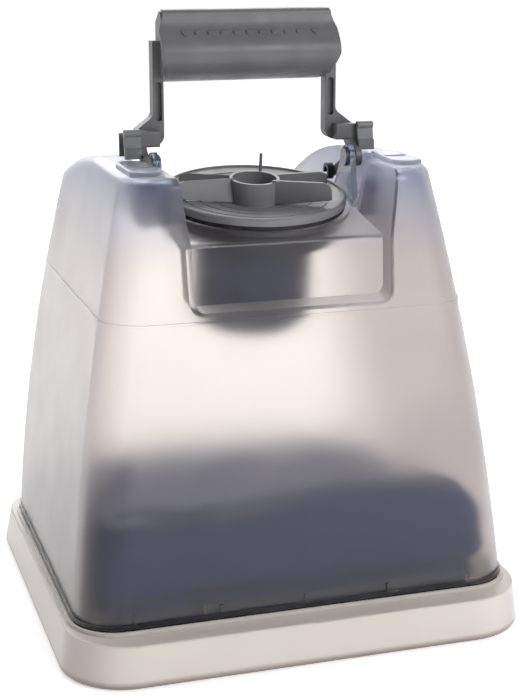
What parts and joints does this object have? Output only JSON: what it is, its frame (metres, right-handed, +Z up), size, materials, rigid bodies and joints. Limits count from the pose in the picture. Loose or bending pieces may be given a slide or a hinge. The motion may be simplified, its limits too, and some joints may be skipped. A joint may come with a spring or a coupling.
{
  "type": "removable two-chamber water tank for a floor scrubber",
  "caption": "Removable see-through water tank with a tray, a soft inner bladder, a turn-off filler cap and a folding carry handle.",
  "frame": {"origin": "middle of the tray's underside outline, at the resting surface", "axes": "+Z up, X across the width along the handle's pivots, -Y the front with the pocket"},
  "size_m": [0.289, 0.2828, 0.3705],
  "materials": {
    "clear_shell": "moulded, smoky and see-through",
    "tray_plastic": "moulded, cream, slightly see-through",
    "clear_clip": "moulded",
    "grey_plastic": "moulded, fine grain",
    "dark_plastic": "moulded",
    "soft_bladder": "thin wrinkled film",
    "black_rubber": "matte",
    "steel": "bright",
    "spring_steel": "drawn wire"
  },
  "bodies": {
    "tank": {"tank_body": "clear_shell", "base_tray": "tray_plastic", "rim_gasket": "black_rubber", "tray_screws": "steel", "bladder": "soft_bladder", "bladder_clamp_ring": "dark_plastic", "clamp_screws": "steel", "outlet_valve_body": "dark_plastic", "outlet_nut": "dark_plastic", "outlet_spring": "spring_steel", "strainer_basket": "dark_plastic", "pivot_lug_left": "clear_shell", "pivot_lug_right": "clear_shell", "pivot_pin_left": "clear_shell", "pivot_pin_right": "clear_shell"},
    "handle": {"handle_frame": "grey_plastic", "grip_back_shell": "grey_plastic", "grip_screws": "steel", "latch_clip_left": "clear_clip", "latch_clip_right": "clear_clip", "stop_hook_left": "dark_plastic", "stop_hook_right": "dark_plastic"},
    "cap_lift": {"cap_seal_ring": "black_rubber"},
    "cap": {"fill_cap": "grey_plastic"},
    "vent": {"vent_stem": "grey_plastic", "vent_disc": "black_rubber"},
    "outlet": {"outlet_poppet": "dark_plastic", "outlet_seal": "black_rubber"}
  },
  "joints": [
    {"name": "handle_fold", "type": "hinge", "parent": "tank", "child": "handle", "pos_m": [0, -0.019, 0.28], "axis": [1, 0, 0], "range_deg": [0, 60]},
    {"name": "cap_lift_off", "type": "slide", "parent": "tank", "child": "cap_lift", "axis": [0, -0.1444, 0.9895], "range_m": [0, 0.014]},
    {"name": "cap_turn", "type": "hinge", "parent": "cap_lift", "child": "cap", "pos_m": [0, -0.0195, 0.252], "axis": [0, -0.1444, 0.9895], "range_deg": [0, 90]},
    {"name": "vent_press", "type": "slide", "parent": "cap", "child": "vent", "axis": [0, -0.1444, 0.9895], "range_m": [-0.003, 0], "stiffness_N_per_m": 300, "springref_m": 0.001},
    {"name": "outlet_open", "type": "slide", "parent": "tank", "child": "outlet", "axis": [0, 0, 1], "range_m": [0, 0.005], "stiffness_N_per_m": 400, "springref_m": -0.003, "deforming": ["outlet_spring"]}
  ]
}
